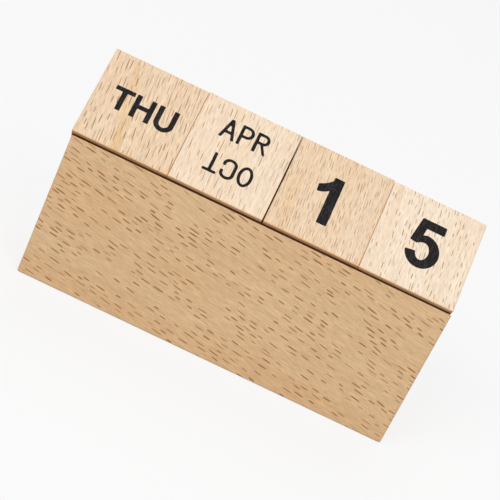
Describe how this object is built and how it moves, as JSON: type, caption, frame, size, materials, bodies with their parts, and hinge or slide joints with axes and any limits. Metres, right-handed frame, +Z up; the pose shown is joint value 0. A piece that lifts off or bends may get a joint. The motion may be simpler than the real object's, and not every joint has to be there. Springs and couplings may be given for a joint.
{
  "type": "perpetual desk calendar",
  "caption": "Wooden desk calendar: loose cube blocks with weekdays, months and digits lie on edge in the V-groove of a long base.",
  "frame": {"origin": "middle of the base's underside, on the surface that the calendar stands on", "axes": "+X along the row of blocks, from the weekday block to the second day block; +Y from the front, where the printed faces look, to the back; +Z up"},
  "size_m": [0.1206, 0.0424, 0.0698],
  "materials": {
    "beech_base": "plain beech, sanded, with a thin satin oil",
    "beech_weekday": "plain pale beech, sanded",
    "beech_month": "plain pale beech, sanded",
    "beech_tens": "plain pale beech, sanded",
    "beech_units": "plain pale beech, sanded",
    "black_ink": "matt black print on the faces of the blocks"
  },
  "bodies": {
    "base": {"base_block": "beech_base"},
    "weekday": {"weekday_block": "beech_weekday"},
    "month": {"month_block": "beech_month"},
    "tens": {"tens_block": "beech_tens"},
    "units": {"units_block": "beech_units"}
  },
  "joints": [
    {"name": "weekday_lift", "type": "slide", "parent": "base", "child": "weekday", "axis": [0, 0, 1], "range_m": [0, 0.06]},
    {"name": "month_lift", "type": "slide", "parent": "base", "child": "month", "axis": [0, 0, 1], "range_m": [0, 0.06]},
    {"name": "tens_lift", "type": "slide", "parent": "base", "child": "tens", "axis": [0, 0, 1], "range_m": [0, 0.06]},
    {"name": "units_lift", "type": "slide", "parent": "base", "child": "units", "axis": [0, 0, 1], "range_m": [0, 0.06]}
  ]
}
